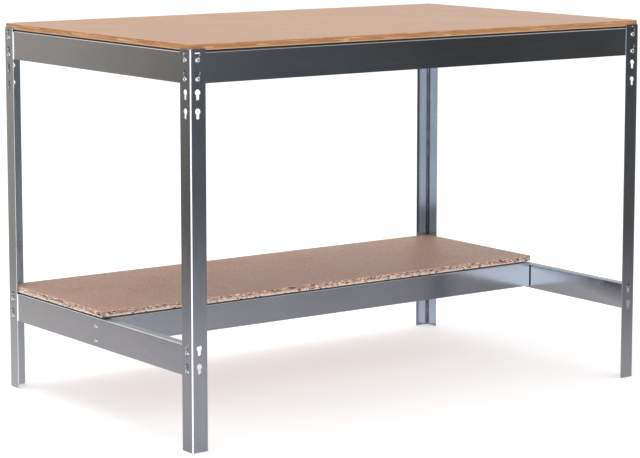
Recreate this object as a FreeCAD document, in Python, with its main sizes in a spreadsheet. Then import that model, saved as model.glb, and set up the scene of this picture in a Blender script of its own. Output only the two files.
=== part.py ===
import FreeCAD, Part
import math
import os
import re

import Sketcher

# Boltless workbench of folded galvanised sheet steel with two loose boards.
# Angle posts carry keyholes. Rivets set in the beam ends hang in those keyholes.
# The frame has +X along the bench, -Y to the front, +Z up and its origin on the floor, mid-bench.

# Driving sizes in millimetres, apart from the two counts.
SIZES = {
    # Whole bench
    "bench_length": 1210,       # over the outer faces of the posts, along X
    "bench_depth": 760,         # over the outer faces of the posts, along Y
    "worktop_height": 825,      # floor to the working surface
    "tie_height": 218,          # floor to the top of the lower ties, where the shelf lies
    # Boards
    "worktop_thickness": 16,
    "shelf_thickness": 16,
    "shelf_depth": 400,         # from the back edge to the front edge of the shelf
    "board_gap": 1,             # from a board's edge to the inside of a post
    "edge_break": 0.6,          # chamfer round the faces of a board
    # Folded sheet
    "post_sheet": 1.5,
    "beam_sheet": 1.5,
    "bend_radius": 1.5,         # inside of every fold
    "post_flange": 37,
    "post_rise": 6,             # post top above the underside of the worktop
    "beam_lip": 22,             # top lip, measured from the outer face of the web
    "beam_end_gap": 2,          # from a beam's end to the web of the beam that crosses it
    "lip_gap": 2,               # from a cut-back lip to the lip that crosses it
    "notch_relief": 0.5,        # from the fold to the bottom of an end notch
    # Keyholes in the posts
    "hole_line": 18,            # from the corner of the post to the keyholes
    "keyhole_pitch": 38,
    "keyhole_head": 12.5,       # diameter that lets a rivet head through
    "keyhole_slot": 7,          # width of the slot below it
    "keyhole_drop": 12,         # from the head's centre down to the rivet's seat
    "spare_keyholes": 2,        # empty keyholes below each top beam
    # Rivets
    "rivet_rows": 2,            # rivets at each end of a beam
    "rivet_inset": 16,          # from the top of a beam to its upper rivet
    "rivet_edge": 9,            # from the lower rivet to the bottom of the beam
    "head_gap": 1.5,            # a rivet head is this much smaller than the keyhole's head
    "head_rise": 2.2,
    "shank_gap": 0.4,           # a shank is this much narrower than the keyhole's slot
    "rivet_fit": 0.1,           # round a shank in the hole where it is set
    "tail_lip": 1.4,            # how far the set end stands out past the shank
    "tail_rise": 1.2,
    # Front beam of the shelf, with a folded tab at each end
    "shelf_overhang": 1,        # shelf board's front edge ahead of the beam
    "tab_reach": 30,            # from the beam's face back to the end of the tab
    "tab_rivet_line": 20,       # from the beam's face back to the tab's rivets
    "tab_rivet_inset": 20,
    "tab_rivet_pitch": 31,
    "tab_rivet_edge": 7,
}

# Formulas in those sizes that more than one piece uses.
POST_HEIGHT = "(worktop_height - worktop_thickness + post_rise)"
BEAM_TOP = "(worktop_height - worktop_thickness)"
BEAM_WEB = "(rivet_inset + (rivet_rows - 1) * keyhole_pitch + rivet_edge)"
SHELF_BEAM_WEB = "(tab_rivet_inset + (rivet_rows - 1) * tab_rivet_pitch + tab_rivet_edge)"
BEAM_SETBACK = "(post_sheet + beam_sheet + beam_end_gap)"
FOLD = "(bend_radius + beam_sheet)"
NOTCH_DROP = f"({FOLD} + notch_relief)"
BOARD_INSET = "(post_sheet + board_gap)"
SHANK = "(keyhole_slot - shank_gap)"
RIVET_HOLE = f"({SHANK} + 2 * rivet_fit)"
SHELF_BEAM_FACE = f"(bench_depth / 2 - {BOARD_INSET} - shelf_depth + shelf_overhang)"
SHELF_BEAM_BOTTOM = f"(tie_height - {SHELF_BEAM_WEB})"
TAB_RIVET_PLACE = f"({SHELF_BEAM_FACE} + tab_rivet_line)"

# Each side of the bench: quarter turns from the front, outward direction, and the size along it.
SIDES = {
    "front": (0, 0, -1, "bench_length"),
    "right": (1, 1, 0, "bench_depth"),
    "back": (2, 0, 1, "bench_length"),
    "left": (3, -1, 0, "bench_depth"),
}
# Each corner: quarter turns of the post, and which way the corner lies.
CORNERS = {
    "front_left": (0, -1, -1),
    "front_right": (1, 1, -1),
    "back_right": (2, 1, 1),
    "back_left": (3, -1, 1),
}
QUARTER_TURN = 90
UP = FreeCAD.Vector(0, 0, 1)

# Sketch geometry that stands for the origin and the axes, and the numbered points of a line or an arc.
ORIGIN = X_AXIS = -1
Y_AXIS = X_AXIS - 1
START, END, CENTRE = range(1, 4)

doc = FreeCAD.newDocument("workbench")
sheet = doc.addObject("Spreadsheet::Sheet", "Sizes")


def fill_sheet():
    """Write every driving size into the sheet, with its name as the alias."""
    for row, (name, size) in enumerate(SIZES.items(), start=1):
        sheet.set(f"A{row}", name)
        sheet.set(f"B{row}", str(size))
        sheet.setAlias(f"B{row}", name)
    doc.recompute()


def formula(text):
    """The formula with each size pointed at its cell."""
    return re.sub(r"[a-z_]+", lambda name: f"Sizes.{name.group()}", text)


def value(text):
    """What the formula comes to now."""
    return float(sheet.evalExpression(text))


def bind(item, prop, text):
    """Tie a property to a formula."""
    item.setExpression(prop, formula(text))


def new_body(label, turns, x="0", y="0", z="0"):
    """A body turned by quarter turns about Z, with its origin at three formulas."""
    body = doc.addObject("PartDesign::Body", label)
    body.Label = label
    body.Placement = FreeCAD.Placement(FreeCAD.Vector(), FreeCAD.Rotation(UP, QUARTER_TURN * turns))
    for axis, text in (("x", x), ("y", y), ("z", z)):
        bind(body, f"Placement.Base.{axis}", text)
    return body


def origin_feature(body, role):
    """A plane or an axis of the body's own origin."""
    return next(item for item in body.Origin.OriginFeatures if item.Role == role)


def new_sketch(body, name, plane, x="0", y="0", z="0", turns=0):
    """A sketch on an origin plane, moved by formulas in the plane's own directions."""
    sketch = body.newObject("Sketcher::SketchObject", name)
    sketch.AttachmentSupport = [(origin_feature(body, plane), "")]
    sketch.MapMode = "FlatFace"
    spin = FreeCAD.Rotation(UP, QUARTER_TURN * turns)
    sketch.AttachmentOffset = FreeCAD.Placement(FreeCAD.Vector(), spin)
    for axis, text in (("x", x), ("y", y), ("z", z)):
        bind(sketch, f"AttachmentOffset.Base.{axis}", text)
    return sketch


def fix(sketch, kind, *where):
    """Add a geometric constraint."""
    sketch.addConstraint(Sketcher.Constraint(kind, *where))


def dimension(sketch, text, kind, *where):
    """Add a dimension that follows a formula."""
    index = sketch.addConstraint(Sketcher.Constraint(kind, *where, value(text)))
    sketch.setExpression(f"Constraints[{index}]", formula(text))


def add_lines(sketch, points):
    """Straight lines from each point to the next, as a list of geometry numbers."""
    vectors = [FreeCAD.Vector(x, y, 0) for x, y in points]
    return [sketch.addGeometry(Part.LineSegment(a, b), False) for a, b in zip(vectors, vectors[1:])]


def add_arc(sketch, x, y, radius, start, end):
    """An arc about a centre, anticlockwise between two angles."""
    circle = Part.Circle(FreeCAD.Vector(x, y, 0), UP, radius)
    return sketch.addGeometry(Part.ArcOfCircle(circle, start, end), False)


def draw_angle(sketch, leg_u, leg_v, gauge):
    """A folded angle with its outer corner at the sketch's origin and a leg along each axis."""
    long_u, long_v, thick = value(leg_u), value(leg_v), value(gauge)
    inner = value("bend_radius")
    outer = inner + thick
    face_u, end_u, inside_u = add_lines(sketch, [(outer, 0), (long_u, 0), (long_u, thick), (outer, thick)])
    inside_v, end_v, face_v = add_lines(sketch, [(thick, outer), (thick, long_v), (0, long_v), (0, outer)])
    outer_fold = add_arc(sketch, outer, outer, outer, math.pi, math.pi * 3 / 2)
    inner_fold = add_arc(sketch, outer, outer, inner, math.pi, math.pi * 3 / 2)
    for line in (face_u, inside_u, end_v):
        fix(sketch, "Horizontal", line)
    for line in (face_v, inside_v, end_u):
        fix(sketch, "Vertical", line)
    for first, second in ((face_u, end_u), (end_u, inside_u), (inside_v, end_v), (end_v, face_v)):
        fix(sketch, "Coincident", first, END, second, START)
    fix(sketch, "Tangent", outer_fold, END, face_u, START)
    fix(sketch, "Tangent", face_v, END, outer_fold, START)
    fix(sketch, "Tangent", inside_u, END, inner_fold, END)
    fix(sketch, "Tangent", inner_fold, START, inside_v, START)
    fix(sketch, "Coincident", outer_fold, CENTRE, inner_fold, CENTRE)
    fix(sketch, "PointOnObject", face_u, START, X_AXIS)
    fix(sketch, "PointOnObject", face_v, START, Y_AXIS)
    dimension(sketch, leg_u, "DistanceX", ORIGIN, START, face_u, END)
    dimension(sketch, leg_v, "DistanceY", ORIGIN, START, face_v, START)
    dimension(sketch, gauge, "DistanceY", end_u, START, end_u, END)
    dimension(sketch, "bend_radius", "Radius", inner_fold)


def draw_keyhole(sketch):
    """A keyhole with the seat of its rivet at the sketch's origin."""
    half, head = value("keyhole_slot / 2"), value("keyhole_head / 2")
    drop = value("keyhole_drop")
    dip = math.sqrt(head ** 2 - half ** 2)
    lean = math.atan2(dip, half)
    seat = add_arc(sketch, 0, 0, half, math.pi, math.tau)
    right, = add_lines(sketch, [(half, 0), (half, drop - dip)])
    top = add_arc(sketch, 0, drop, head, -lean, math.pi + lean)
    left, = add_lines(sketch, [(-half, drop - dip), (-half, 0)])
    fix(sketch, "Coincident", seat, CENTRE, ORIGIN, START)
    fix(sketch, "PointOnObject", top, CENTRE, Y_AXIS)
    fix(sketch, "Tangent", seat, END, right, START)
    fix(sketch, "Tangent", left, END, seat, START)
    fix(sketch, "Coincident", right, END, top, START)
    fix(sketch, "Coincident", top, END, left, START)
    fix(sketch, "Vertical", right)
    fix(sketch, "Vertical", left)
    dimension(sketch, "keyhole_slot / 2", "Radius", seat)
    dimension(sketch, "keyhole_head / 2", "Radius", top)
    dimension(sketch, "keyhole_drop", "DistanceY", ORIGIN, START, top, CENTRE)


def draw_circle(sketch, diameter):
    """A circle about the sketch's origin."""
    circle = Part.Circle(FreeCAD.Vector(), UP, value(diameter) / 2)
    ring = sketch.addGeometry(circle, False)
    fix(sketch, "Coincident", ring, CENTRE, ORIGIN, START)
    dimension(sketch, diameter, "Diameter", ring)


def draw_rectangle(sketch, width, height):
    """A rectangle with one corner at the sketch's origin."""
    wide, high = value(width), value(height)
    base, side, top, back = add_lines(sketch, [(0, 0), (wide, 0), (wide, high), (0, high), (0, 0)])
    for first, second in ((base, side), (side, top), (top, back), (back, base)):
        fix(sketch, "Coincident", first, END, second, START)
    for line in (base, top):
        fix(sketch, "Horizontal", line)
    for line in (side, back):
        fix(sketch, "Vertical", line)
    fix(sketch, "Coincident", base, START, ORIGIN, START)
    dimension(sketch, width, "DistanceX", base, START, base, END)
    dimension(sketch, height, "DistanceY", side, START, side, END)


def draw_rivet(sketch, grip):
    """Half a rivet against the sketch's vertical axis, from the crown of its head to its set end."""
    head, shank = value("(keyhole_head - head_gap) / 2"), value(f"{SHANK} / 2")
    tail = shank + value("tail_lip")
    rim = value("head_rise")
    neck = rim + value(grip)
    foot = neck + value("tail_rise")
    ball = (head ** 2 + rim ** 2) / (2 * rim)
    dome = add_arc(sketch, 0, ball, ball, -math.pi / 2, math.asin((rim - ball) / ball))
    outline = [(head, rim), (shank, rim), (shank, neck), (tail, neck), (tail, foot), (0, foot), (0, 0)]
    under, stem, shoulder, flank, end, axis = add_lines(sketch, outline)
    run = (under, stem, shoulder, flank, end, axis)
    for first, second in zip(run, run[1:]):
        fix(sketch, "Coincident", first, END, second, START)
    for line in (under, shoulder, end):
        fix(sketch, "Horizontal", line)
    for line in (stem, flank):
        fix(sketch, "Vertical", line)
    fix(sketch, "Coincident", dome, END, under, START)
    fix(sketch, "Coincident", axis, END, dome, START)
    fix(sketch, "Coincident", dome, START, ORIGIN, START)
    fix(sketch, "PointOnObject", dome, CENTRE, Y_AXIS)
    fix(sketch, "PointOnObject", axis, START, Y_AXIS)
    dimension(sketch, "(keyhole_head - head_gap) / 2", "DistanceX", ORIGIN, START, under, START)
    dimension(sketch, "head_rise", "DistanceY", ORIGIN, START, under, START)
    dimension(sketch, f"{SHANK} / 2", "DistanceX", ORIGIN, START, stem, START)
    dimension(sketch, grip, "DistanceY", stem, START, stem, END)
    dimension(sketch, "tail_lip", "DistanceX", shoulder, START, shoulder, END)
    dimension(sketch, "tail_rise", "DistanceY", flank, START, flank, END)


def pad(body, sketch, length, both_ways=False):
    """Raise a sketch by a formula, to one side or about its plane."""
    raised = body.newObject("PartDesign::Pad", f"{sketch.Name}_pad")
    raised.Profile = sketch
    raised.SideType = "Symmetric" if both_ways else "One side"
    bind(raised, "Length", length)
    doc.recompute()
    return raised


def cut(body, sketch, backwards=False, both_ways=False):
    """Cut a sketch right through what lies on one side of its plane, or on both."""
    before = body.Tip.Shape.Volume
    opening = body.newObject("PartDesign::Pocket", f"{sketch.Name}_cut")
    opening.Profile = sketch
    opening.Type = "ThroughAll"
    opening.SideType = "Symmetric" if both_ways else "One side"
    opening.Reversed = backwards
    doc.recompute()
    if opening.Shape.Volume >= before:
        raise RuntimeError(f"{opening.Name} cuts nothing")
    return opening


def add_row(body, name, count, pitch, downwards):
    """A row of copies along Z, for a pattern."""
    row = body.newObject("PartDesign::LinearPattern", f"{name}_row")
    row.Direction = (origin_feature(body, "Z_Axis"), [""])
    row.Mode = "Spacing"
    row.Reversed = downwards
    bind(row, "Occurrences", count)
    bind(row, "Offset", pitch)
    return row


def add_twin(body, name):
    """A copy on the other side of the body's YZ plane, for a pattern."""
    twin = body.newObject("PartDesign::Mirrored", f"{name}_twin")
    twin.MirrorPlane = (origin_feature(body, "YZ_Plane"), [""])
    return twin


def copy_with(body, pattern, feature):
    """Put a pattern to work on a feature."""
    pattern.Originals = [feature]
    body.Tip = pattern
    doc.recompute()


def repeat(body, feature, count, pitch, downwards=False):
    """Repeat a feature along Z."""
    copy_with(body, add_row(body, feature.Name, count, pitch, downwards), feature)


def mirror(body, feature):
    """Repeat a feature at the other end of the body."""
    copy_with(body, add_twin(body, feature.Name), feature)


def repeat_at_both_ends(body, feature, count, pitch):
    """Repeat a feature along Z, and that row at the other end of the body."""
    both = body.newObject("PartDesign::MultiTransform", f"{feature.Name}_ends")
    row = add_row(body, feature.Name, count, pitch, downwards=False)
    both.Transformations = [row, add_twin(body, feature.Name)]
    copy_with(body, both, feature)


def make_post(corner):
    """An angle post with a row of keyholes at the top of each flange and a pair lower down."""
    turns, x_way, y_way = CORNERS[corner]
    place = (f"{x_way} * bench_length / 2", f"{y_way} * bench_depth / 2")
    body = new_body(f"post_{corner}", turns, *place)
    profile = new_sketch(body, "angle", "XY_Plane")
    draw_angle(profile, "post_flange", "post_flange", "post_sheet")
    pad(body, profile, POST_HEIGHT)
    for plane, backwards in (("XZ_Plane", False), ("YZ_Plane", True)):
        for level, count in ((BEAM_TOP, "rivet_rows + spare_keyholes"), ("tie_height", "rivet_rows")):
            outline = new_sketch(body, "keyhole", plane, "hole_line", f"{level} - rivet_inset")
            draw_keyhole(outline)
            keyhole = cut(body, outline, backwards)
            repeat(body, keyhole, count, "keyhole_pitch", downwards=True)
    return body


def beam_length(side):
    """Formula for the length of the beam on one side of the bench."""
    return f"({SIDES[side][3]} - 2 * {BEAM_SETBACK})"


def beam_frame(side, top, web):
    """Quarter turns and place of a side's beam: mid-length, outer face of the web, bottom edge."""
    turns, x_way, y_way, _ = SIDES[side]
    x = f"{x_way} * (bench_length / 2 - post_sheet)"
    y = f"{y_way} * (bench_depth / 2 - post_sheet)"
    return turns, x, y, f"{top} - {web}"


def fold_beam(body, web, length):
    """A folded angle along X: web upright against Y = 0 and lip inwards at the top."""
    profile = new_sketch(body, "section", "YZ_Plane", y=web, turns=-1)
    draw_angle(profile, web, "beam_lip", "beam_sheet")
    pad(body, profile, length, both_ways=True)


def notch_lip(body, web, length, notch):
    """Cut the lip and the fold back at both ends, so that a crossing lip passes."""
    outline = new_sketch(body, "notch", "XZ_Plane", f"{length} / 2 - {notch}", f"{web} - {NOTCH_DROP}")
    draw_rectangle(outline, notch, NOTCH_DROP)
    mirror(body, cut(body, outline))


def hook_place(side):
    """Place of the lower rivet at a beam's right end: along the beam and up it."""
    return f"{SIDES[side][3]} / 2 - hole_line", "rivet_edge"


def make_beam(label, side, top):
    """A beam or a tie that hangs between two posts by two rivets at each end."""
    body = new_body(label, *beam_frame(side, top, BEAM_WEB))
    length = beam_length(side)
    fold_beam(body, BEAM_WEB, length)
    if SIDES[side][3] == "bench_length":
        notch_lip(body, BEAM_WEB, length, f"(beam_lip + lip_gap - {BEAM_SETBACK} + post_sheet)")
    outline = new_sketch(body, "rivet_hole", "XZ_Plane", *hook_place(side))
    draw_circle(outline, RIVET_HOLE)
    repeat_at_both_ends(body, cut(body, outline), "rivet_rows", "keyhole_pitch")
    return body


def tab_rivet_place(side):
    """Place of the shelf beam's rivets in the frame of the tie on one side: along it and up it."""
    x_way = SIDES[side][1]
    return f"{x_way} * {TAB_RIVET_PLACE}", f"{BEAM_WEB} - {SHELF_BEAM_WEB} + tab_rivet_edge"


def make_tie(side):
    """A lower tie: a short beam with two plain holes for the rivets of the shelf's front beam."""
    body = make_beam(f"lower_tie_{side}", side, "tie_height")
    outline = new_sketch(body, "tab_hole", "XZ_Plane", *tab_rivet_place(side))
    draw_circle(outline, RIVET_HOLE)
    repeat(body, cut(body, outline), "rivet_rows", "tab_rivet_pitch")
    return body


def make_shelf_beam():
    """The shelf's front beam, between the ties, with an end tab folded back along each tie."""
    body = new_body("shelf_beam_front", 0, y=SHELF_BEAM_FACE, z=SHELF_BEAM_BOTTOM)
    span = "(bench_length - 2 * (post_sheet + beam_sheet))"
    length = f"({span} - 2 * {FOLD})"
    fold_beam(body, SHELF_BEAM_WEB, length)
    notch_lip(body, SHELF_BEAM_WEB, length, f"(beam_lip + lip_gap - beam_sheet - {FOLD})")
    plan = new_sketch(body, "tab", "XY_Plane", f"{span} / 2", turns=1)
    draw_angle(plan, "tab_reach", "tab_reach", "beam_sheet")
    mirror(body, pad(body, plan, f"{SHELF_BEAM_WEB} - {NOTCH_DROP}"))
    outline = new_sketch(body, "tab_hole", "YZ_Plane", "tab_rivet_line", "tab_rivet_edge")
    draw_circle(outline, RIVET_HOLE)
    holes = cut(body, outline, both_ways=True)
    repeat(body, holes, "rivet_rows", "tab_rivet_pitch")
    return body


def turn_rivet(body, crown, grip, turns=0):
    """One rivet from the crown of its head inwards along Y, or along -X after one quarter turn."""
    half = new_sketch(body, "half_rivet", "XY_Plane", *crown, turns)
    draw_rivet(half, grip)
    rivet = body.newObject("PartDesign::Revolution", "rivet")
    rivet.Profile = half
    rivet.ReferenceAxis = (half, ["V_Axis"])
    doc.recompute()
    return rivet


def make_hooks(label, side, top):
    """The four rivets that hang one beam in the keyholes of its two posts."""
    body = new_body(label, *beam_frame(side, top, BEAM_WEB))
    along, up = hook_place(side)
    rivet = turn_rivet(body, (along, "-(post_sheet + head_rise)", up), "post_sheet + beam_sheet")
    repeat_at_both_ends(body, rivet, "rivet_rows", "keyhole_pitch")
    return body


def make_tab_rivets():
    """The four rivets that hold the end tabs of the shelf's front beam to the ties."""
    body = new_body("shelf_beam_rivets", 0, y=SHELF_BEAM_FACE, z=SHELF_BEAM_BOTTOM)
    crown = ("bench_length / 2 - post_sheet + head_rise", "tab_rivet_line", "tab_rivet_edge")
    rivet = turn_rivet(body, crown, "2 * beam_sheet", turns=1)
    repeat_at_both_ends(body, rivet, "rivet_rows", "tab_rivet_pitch")
    return body


def make_board(label, depth, front, underside, thickness):
    """A loose board that lies on the lips between the posts, with its edges broken."""
    length = f"(bench_length - 2 * {BOARD_INSET})"
    body = new_body(label, 0, f"-{length} / 2", front, underside)
    outline = new_sketch(body, "outline", "XY_Plane")
    draw_rectangle(outline, length, depth)
    slab = pad(body, outline, thickness)
    faces = [f"Face{number}" for number, face in enumerate(slab.Shape.Faces, start=1)
             if face.normalAt(0, 0).isParallel(UP, Part.Precision.angular())]
    eased = body.newObject("PartDesign::Chamfer", "eased_edges")
    eased.Base = (slab, faces)
    bind(eased, "Size", "edge_break")
    return body


def make_all():
    """Every sub-part of the bench, in the order that it is put together."""
    bodies = [make_post(corner) for corner in CORNERS]
    for side in SIDES:
        bodies.append(make_beam(f"top_beam_{side}", side, BEAM_TOP))
        bodies.append(make_hooks(f"top_beam_rivets_{side}", side, BEAM_TOP))
    for side in ("left", "right"):
        bodies.append(make_tie(side))
        bodies.append(make_hooks(f"lower_tie_rivets_{side}", side, "tie_height"))
    bodies.append(make_beam("lower_beam_back", "back", "tie_height"))
    bodies.append(make_hooks("lower_beam_rivets_back", "back", "tie_height"))
    bodies.append(make_shelf_beam())
    bodies.append(make_tab_rivets())
    full_depth = f"(bench_depth - 2 * {BOARD_INSET})"
    top_front = f"-{full_depth} / 2"
    bodies.append(make_board("worktop_board", full_depth, top_front, BEAM_TOP, "worktop_thickness"))
    shelf_front = f"{SHELF_BEAM_FACE} - shelf_overhang"
    bodies.append(make_board("shelf_board", "shelf_depth", shelf_front, "tie_height", "shelf_thickness"))
    return bodies


def check(bodies):
    """Stop if any object failed or any sub-part has no sound solid."""
    for item in doc.Objects:
        if {"Invalid", "Error"} & set(item.State):
            raise RuntimeError(f"{item.Label}: {item.State}")
    for body in bodies:
        if body.Shape.isNull() or not body.Shape.isValid() or not body.Shape.Solids:
            raise RuntimeError(f"{body.Label} has no sound solid")


def write(bodies):
    """Write each sub-part to its own file."""
    os.makedirs("parts", exist_ok=True)
    for body in bodies:
        body.Shape.exportStep(f"parts/{body.Label}.step")


fill_sheet()
sub_parts = make_all()
doc.recompute()
check(sub_parts)
write(sub_parts)
for sub_part in sub_parts:
    print(f"{sub_part.Label}: {len(sub_part.Shape.Solids)} solids, {sub_part.Shape.Volume:.1f} mm3")
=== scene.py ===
"""Looks of a boltless workbench: galvanised angle posts and folded beams, set rivets and two boards."""
import logging
import math
import random
from dataclasses import dataclass, field, replace
from enum import Enum
from functools import cache, partial, reduce
from typing import Callable, Sequence

import bmesh
import bpy
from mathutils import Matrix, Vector
from mathutils.geometry import delaunay_2d_cdt
from mathutils.noise import noise


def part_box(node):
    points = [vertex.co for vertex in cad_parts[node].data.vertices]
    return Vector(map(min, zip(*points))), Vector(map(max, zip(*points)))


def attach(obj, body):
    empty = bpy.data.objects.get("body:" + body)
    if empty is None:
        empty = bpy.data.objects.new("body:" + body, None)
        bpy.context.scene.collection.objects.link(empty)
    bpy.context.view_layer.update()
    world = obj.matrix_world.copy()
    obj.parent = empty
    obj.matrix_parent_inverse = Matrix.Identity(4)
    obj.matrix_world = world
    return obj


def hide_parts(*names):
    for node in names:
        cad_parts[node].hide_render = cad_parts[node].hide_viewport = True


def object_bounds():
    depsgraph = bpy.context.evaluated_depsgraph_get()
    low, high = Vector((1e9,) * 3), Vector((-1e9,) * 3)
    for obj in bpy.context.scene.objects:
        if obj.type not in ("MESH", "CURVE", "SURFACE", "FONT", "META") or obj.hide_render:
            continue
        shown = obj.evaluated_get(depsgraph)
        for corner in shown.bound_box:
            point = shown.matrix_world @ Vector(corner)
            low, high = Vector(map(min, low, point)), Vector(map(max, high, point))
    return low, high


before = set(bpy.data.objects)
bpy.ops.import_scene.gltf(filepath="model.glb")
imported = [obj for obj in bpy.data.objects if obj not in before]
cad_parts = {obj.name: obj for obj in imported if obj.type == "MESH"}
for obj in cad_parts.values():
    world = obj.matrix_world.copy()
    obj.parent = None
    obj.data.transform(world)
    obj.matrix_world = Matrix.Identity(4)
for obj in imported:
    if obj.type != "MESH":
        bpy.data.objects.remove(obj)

LOG = logging.getLogger("workbench")
MM = 0.001
BODY = "root"
CUT_EDGE = "cut_edge"
EDGE_MARK = 1.0
ARRIS_MARK = 0.5
# Marks of painted shade on the steel: a lighter share in a pocket behind a post, more in the hollow of a
# fold, full in a seam.
PAINTED_SHADE = "painted_shade"
POCKET_MARK = 0.45
HOLLOW_MARK = 1.0
SEAM_MARK = 2.0
SHARP_ANGLE = math.radians(38)
QUARTER = math.pi / 2
WAYS = (-1, 1)
DOWN, UP = (0, 0, -1), (0, 0, 1)
WEAR_SEED = 11
CAD_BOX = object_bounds()

Point = tuple[float, float]
Triple = tuple[float, float, float]
Colour = tuple[float, float, float, float]
Mesh, Vert, Face = bmesh.types.BMesh, bmesh.types.BMVert, bmesh.types.BMFace
Node, Socket, Outputs = bpy.types.Node, bpy.types.NodeSocket, bpy.types.NodeOutputs
Material = bpy.types.Material
Results = dict[str, Socket]
Indices = list[list[int]]


class Slot(Enum):
    """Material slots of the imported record."""

    STEEL = "galvanised_steel"
    RIVET = "plated_rivets"
    WORKTOP = "worktop_fibreboard"
    SHELF = "shelf_chipboard"


class GrainAxis(Enum):
    """Direction that a sheet was rolled in, as the axis of the bench that it ends up along."""

    LENGTH = 0
    DEPTH = 1
    HEIGHT = 2


class Side(Enum):
    """Sides of the bench, each with its outward direction."""

    FRONT = (0, -1)
    RIGHT = (1, 0)
    BACK = (0, 1)
    LEFT = (-1, 0)

    @property
    def outward(self) -> Vector:
        """Unit vector that points out of the bench."""
        return Vector((*self.value, 0))

    @property
    def along(self) -> Vector:
        """Unit vector along the side, to the right for someone who faces it."""
        return Vector((-self.value[1], self.value[0], 0))

    @property
    def grain(self) -> GrainAxis:
        """Axis of the bench that the side runs along."""
        return GrainAxis.DEPTH if self.value[0] else GrainAxis.LENGTH


class Corner(Enum):
    """Corners of the bench, each with the signs of its place."""

    FRONT_LEFT = (-1, -1)
    FRONT_RIGHT = (1, -1)
    BACK_RIGHT = (1, 1)
    BACK_LEFT = (-1, 1)


# Shader graphs

VALUE, VECTOR = "NodeSocketFloat", "NodeSocketVector"
COORDINATES = ("Place", "Rolled")
FLAKE_SWAY = (0.006, 0.006, 0.006)
# A Mix node's colour sockets go by number, because its sockets of other kinds have the same names.
MIX_FACTOR, MIX_FIRST, MIX_SECOND, MIX_RESULT = 0, 6, 7, 2


class Graph:
    """A node tree with short calls for the nodes that the finishes need."""

    def __init__(self, tree: bpy.types.NodeTree, source: str = "ShaderNodeTexCoord") -> None:
        """Add nodes to this tree, first the one that gives coordinates or a group's inputs."""
        self.tree = tree
        self.given = tree.nodes.new(source).outputs

    def node(self, kind: str, links: dict | None = None, **settings: object) -> Node:
        """Add a node.

        Args:
            kind: The node's type name after ShaderNode.
            links: Input names or numbers with the socket or the value that each takes.
            settings: Properties of the node.

        Returns:
            The new node.
        """
        made = self.tree.nodes.new(f"ShaderNode{kind}")
        for name, setting in settings.items():
            setattr(made, name, setting)
        for name, source in (links or {}).items():
            if isinstance(source, Socket):
                self.tree.links.new(source, made.inputs[name])
            else:
                made.inputs[name].default_value = source
        return made

    def math(self, operation: str, first: object, second: object) -> Socket:
        """Work on two sockets or numbers, with an operation such as MULTIPLY."""
        return self.node("Math", {0: first, 1: second}, operation=operation).outputs[0]

    def weigh(self, *terms: tuple[Socket, float]) -> Socket:
        """Add values up, each times its weight."""
        parts = [self.math("MULTIPLY", value, weight) for value, weight in terms]
        return reduce(partial(self.math, "ADD"), parts)

    def span(self, value: Socket, low: float, high: float, out_low: float = 0.0,
             out_high: float = 1.0) -> Socket:
        """Carry the range from low to high over to the one from out_low to out_high, and hold it there."""
        links = {"Value": value, "From Min": low, "From Max": high, "To Min": out_low, "To Max": out_high}
        return self.node("MapRange", links).outputs["Result"]

    def mix(self, amount: Socket, first: object, second: object, share: float = 1.0) -> Socket:
        """Mix two colours: the first where the amount is 0, a share of the second where it is 1."""
        links = {MIX_FACTOR: self.math("MULTIPLY", amount, share), MIX_FIRST: first, MIX_SECOND: second}
        return self.node("Mix", links, data_type="RGBA").outputs[MIX_RESULT]

    def stretch(self, place: Socket, scale: Sequence[float], turn: Triple = (0, 0, 0)) -> Socket:
        """Scale coordinates along each axis, then turn them by angles in radians."""
        return self.node("Mapping", {"Vector": place, "Scale": scale, "Rotation": turn}).outputs["Vector"]

    def noise(self, place: Socket, scale: object, detail: float = 3.0, roughness: float = 0.55) -> Socket:
        """Noise about 0.5, in waves to a metre, with the number of finer octaves and their strength."""
        links = {"Vector": place, "Scale": scale, "Detail": detail, "Roughness": roughness}
        return self.node("TexNoise", links).outputs["Fac"]

    def cells(self, place: Socket, scale: Socket, channel: str) -> Socket:
        """A value for each cell of a pattern of grains, from one channel of the pattern's colour."""
        pattern = self.node("TexVoronoi", {"Vector": place, "Scale": scale})
        return self.node("SeparateColor", {"Color": pattern.outputs["Color"]}).outputs[channel]

    def bump(self, height: Socket, strength: float, distance: float) -> Socket:
        """Normal that a height bends, where a height of 1 stands for a distance in metres."""
        links = {"Height": height, "Strength": strength, "Distance": distance}
        return self.node("Bump", links).outputs["Normal"]

    def light(self, colour: Colour, strength: object) -> Socket:
        """Light of the world, as a shader."""
        return self.node("Background", {"Color": colour, "Strength": strength}).outputs[0]


class Surface(Graph):
    """The graph of a new material, with coordinates in the frame of the bench."""

    def __init__(self, name: str) -> None:
        """Make the material.

        Args:
            name: The material's name.
        """
        self.material = bpy.data.materials.new(name)
        self.material.use_nodes = True
        self.material.node_tree.nodes.clear()
        super().__init__(self.material.node_tree)
        self.place = self.given["Object"]

    def shade(self, links: dict[str, object]) -> Material:
        """The material, ended by a Principled shader with these inputs."""
        self.node("OutputMaterial", {"Surface": self.node("BsdfPrincipled", links).outputs["BSDF"]})
        return self.material


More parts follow.
